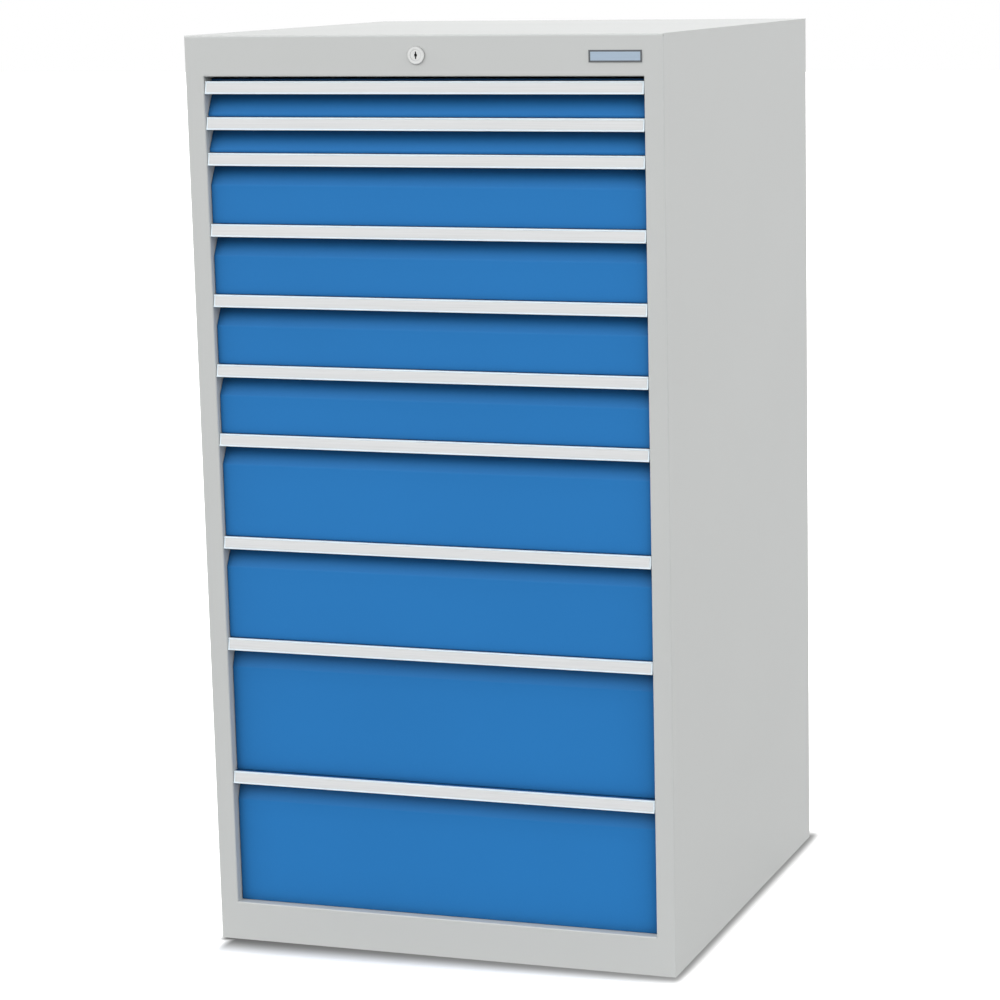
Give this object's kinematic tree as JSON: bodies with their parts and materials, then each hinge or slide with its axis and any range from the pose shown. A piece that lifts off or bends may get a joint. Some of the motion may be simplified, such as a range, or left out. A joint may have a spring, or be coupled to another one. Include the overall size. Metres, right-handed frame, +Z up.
{
  "type": "multi-drawer cabinet",
  "caption": "Floor-standing steel cabinet with full-width drawers of several heights on telescopic slides, full-width grips and one lock for all drawers.",
  "frame": {"origin": "middle of the base, on the floor, with the casing's depth centred; the lock stands 3 mm proud in front", "axes": "+Z up, drawers open towards -Y, +X to the right seen from the front"},
  "size_m": [0.705, 0.739, 1.319],
  "materials": {
    "casing_paint": "light grey powder coat, satin, very fine grain",
    "drawer_paint": "light grey powder coat, satin",
    "front_blue": "mid blue powder coat, satin, very fine grain",
    "grip_aluminium": "pale satin aluminium extrusion with a label channel",
    "zinc_steel": "zinc-plated sheet steel",
    "bright_steel": "drawn bright steel",
    "lock_chrome": "satin nickel-chrome plating",
    "plate_aluminium": "bare silvery plate with a thin dark edge"
  },
  "bodies": {
    "cabinet": {"side_wall_left": "casing_paint", "side_wall_right": "casing_paint", "top_panel": "casing_paint", "back_panel": "casing_paint", "floor_panel": "casing_paint", "base_rails": "casing_paint", "uprights_left": "zinc_steel", "uprights_right": "zinc_steel", "cabinet_slides_left": "zinc_steel", "cabinet_slides_right": "zinc_steel", "lock_housing": "lock_chrome", "lock_nut": "lock_chrome", "lock_bar_guides": "zinc_steel", "guide_rivets": "zinc_steel", "shaft_bracket": "zinc_steel", "nameplate": "plate_aluminium"},
    "drawer_01": {"drawer_01_box": "drawer_paint", "drawer_01_front": "front_blue", "drawer_01_grip": "grip_aluminium"},
    "middle_slides_01": {"slide_middle_01": "zinc_steel"},
    "drawer_02": {"drawer_02_box": "drawer_paint", "drawer_02_front": "front_blue", "drawer_02_grip": "grip_aluminium"},
    "middle_slides_02": {"slide_middle_02": "zinc_steel"},
    "drawer_03": {"drawer_03_box": "drawer_paint", "drawer_03_front": "front_blue", "drawer_03_grip": "grip_aluminium"},
    "middle_slides_03": {"slide_middle_03": "zinc_steel"},
    "drawer_04": {"drawer_04_box": "drawer_paint", "drawer_04_front": "front_blue", "drawer_04_grip": "grip_aluminium"},
    "middle_slides_04": {"slide_middle_04": "zinc_steel"},
    "drawer_05": {"drawer_05_box": "drawer_paint", "drawer_05_front": "front_blue", "drawer_05_grip": "grip_aluminium"},
    "middle_slides_05": {"slide_middle_05": "zinc_steel"},
    "drawer_06": {"drawer_06_box": "drawer_paint", "drawer_06_front": "front_blue", "drawer_06_grip": "grip_aluminium"},
    "middle_slides_06": {"slide_middle_06": "zinc_steel"},
    "drawer_07": {"drawer_07_box": "drawer_paint", "drawer_07_front": "front_blue", "drawer_07_grip": "grip_aluminium"},
    "middle_slides_07": {"slide_middle_07": "zinc_steel"},
    "drawer_08": {"drawer_08_box": "drawer_paint", "drawer_08_front": "front_blue", "drawer_08_grip": "grip_aluminium"},
    "middle_slides_08": {"slide_middle_08": "zinc_steel"},
    "drawer_09": {"drawer_09_box": "drawer_paint", "drawer_09_front": "front_blue", "drawer_09_grip": "grip_aluminium"},
    "middle_slides_09": {"slide_middle_09": "zinc_steel"},
    "drawer_10": {"drawer_10_box": "drawer_paint", "drawer_10_front": "front_blue", "drawer_10_grip": "grip_aluminium"},
    "middle_slides_10": {"slide_middle_10": "zinc_steel"},
    "lock": {"lock_plug": "lock_chrome", "lock_shaft": "bright_steel", "lock_crank": "zinc_steel"},
    "locking_bar": {"lock_bar": "zinc_steel"}
  },
  "joints": [
    {"name": "drawer_01_slide", "type": "slide", "parent": "cabinet", "child": "drawer_01", "axis": [0, -1, 0], "range_m": [0, 0.6]},
    {"name": "middle_slides_01_slide", "type": "slide", "parent": "cabinet", "child": "middle_slides_01", "axis": [0, -1, 0], "range_m": [0, 0.3]},
    {"name": "drawer_02_slide", "type": "slide", "parent": "cabinet", "child": "drawer_02", "axis": [0, -1, 0], "range_m": [0, 0.6]},
    {"name": "middle_slides_02_slide", "type": "slide", "parent": "cabinet", "child": "middle_slides_02", "axis": [0, -1, 0], "range_m": [0, 0.3]},
    {"name": "drawer_03_slide", "type": "slide", "parent": "cabinet", "child": "drawer_03", "axis": [0, -1, 0], "range_m": [0, 0.6]},
    {"name": "middle_slides_03_slide", "type": "slide", "parent": "cabinet", "child": "middle_slides_03", "axis": [0, -1, 0], "range_m": [0, 0.3]},
    {"name": "drawer_04_slide", "type": "slide", "parent": "cabinet", "child": "drawer_04", "axis": [0, -1, 0], "range_m": [0, 0.6]},
    {"name": "middle_slides_04_slide", "type": "slide", "parent": "cabinet", "child": "middle_slides_04", "axis": [0, -1, 0], "range_m": [0, 0.3]},
    {"name": "drawer_05_slide", "type": "slide", "parent": "cabinet", "child": "drawer_05", "axis": [0, -1, 0], "range_m": [0, 0.6]},
    {"name": "middle_slides_05_slide", "type": "slide", "parent": "cabinet", "child": "middle_slides_05", "axis": [0, -1, 0], "range_m": [0, 0.3]},
    {"name": "drawer_06_slide", "type": "slide", "parent": "cabinet", "child": "drawer_06", "axis": [0, -1, 0], "range_m": [0, 0.6]},
    {"name": "middle_slides_06_slide", "type": "slide", "parent": "cabinet", "child": "middle_slides_06", "axis": [0, -1, 0], "range_m": [0, 0.3]},
    {"name": "drawer_07_slide", "type": "slide", "parent": "cabinet", "child": "drawer_07", "axis": [0, -1, 0], "range_m": [0, 0.6]},
    {"name": "middle_slides_07_slide", "type": "slide", "parent": "cabinet", "child": "middle_slides_07", "axis": [0, -1, 0], "range_m": [0, 0.3]},
    {"name": "drawer_08_slide", "type": "slide", "parent": "cabinet", "child": "drawer_08", "axis": [0, -1, 0], "range_m": [0, 0.6]},
    {"name": "middle_slides_08_slide", "type": "slide", "parent": "cabinet", "child": "middle_slides_08", "axis": [0, -1, 0], "range_m": [0, 0.3]},
    {"name": "drawer_09_slide", "type": "slide", "parent": "cabinet", "child": "drawer_09", "axis": [0, -1, 0], "range_m": [0, 0.6]},
    {"name": "middle_slides_09_slide", "type": "slide", "parent": "cabinet", "child": "middle_slides_09", "axis": [0, -1, 0], "range_m": [0, 0.3]},
    {"name": "drawer_10_slide", "type": "slide", "parent": "cabinet", "child": "drawer_10", "axis": [0, -1, 0], "range_m": [0, 0.6]},
    {"name": "middle_slides_10_slide", "type": "slide", "parent": "cabinet", "child": "middle_slides_10", "axis": [0, -1, 0], "range_m": [0, 0.3]},
    {"name": "lock_turn", "type": "hinge", "parent": "cabinet", "child": "lock", "pos_m": [-0.0025, -0.371, 1.291], "axis": [0, 1, 0], "range_deg": [0, 90]},
    {"name": "locking_bar_slide", "type": "slide", "parent": "cabinet", "child": "locking_bar", "axis": [0, 0, -1], "range_m": [0, 0.01414]}
  ],
  "couplings": [
    {"joint": "middle_slides_01_slide", "follows": "drawer_01_slide", "ratio": 0.5},
    {"joint": "middle_slides_02_slide", "follows": "drawer_02_slide", "ratio": 0.5},
    {"joint": "middle_slides_03_slide", "follows": "drawer_03_slide", "ratio": 0.5},
    {"joint": "middle_slides_04_slide", "follows": "drawer_04_slide", "ratio": 0.5},
    {"joint": "middle_slides_05_slide", "follows": "drawer_05_slide", "ratio": 0.5},
    {"joint": "middle_slides_06_slide", "follows": "drawer_06_slide", "ratio": 0.5},
    {"joint": "middle_slides_07_slide", "follows": "drawer_07_slide", "ratio": 0.5},
    {"joint": "middle_slides_08_slide", "follows": "drawer_08_slide", "ratio": 0.5},
    {"joint": "middle_slides_09_slide", "follows": "drawer_09_slide", "ratio": 0.5},
    {"joint": "middle_slides_10_slide", "follows": "drawer_10_slide", "ratio": 0.5},
    {"joint": "lock_turn", "follows": "locking_bar_slide", "rad_per_m": 111.09}
  ]
}
